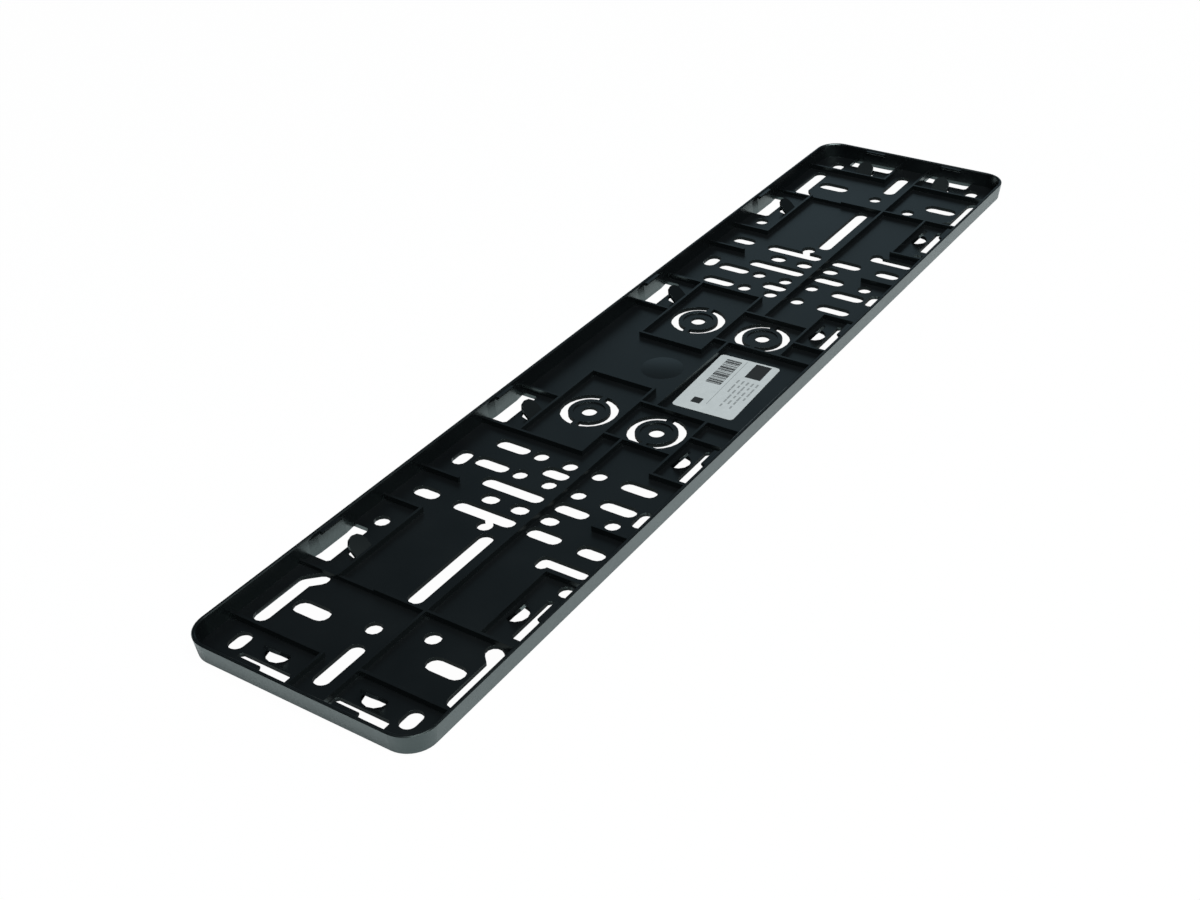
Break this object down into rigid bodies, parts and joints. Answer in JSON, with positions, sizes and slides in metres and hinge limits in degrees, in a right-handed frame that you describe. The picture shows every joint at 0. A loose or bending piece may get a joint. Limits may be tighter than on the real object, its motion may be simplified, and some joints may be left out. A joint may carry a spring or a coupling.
{
  "type": "number plate holder",
  "caption": "Shallow moulded tray that takes a car number plate, with ribs, rim catches, spring tongues and a field of screw slots, and a blank sticker inside.",
  "frame": {"origin": "middle of the back face, the face that is screwed against the car", "axes": "+X along the plate, +Y across it towards its upper edge, +Z from the car towards the plate"},
  "size_m": [0.5298, 0.1134, 0.0095],
  "materials": {
    "black_plastic": "satin moulded polypropylene",
    "label_film": "matt white sticker"
  },
  "bodies": {
    "root": {"holder": "black_plastic", "label": "label_film"}
  },
  "joints": []
}
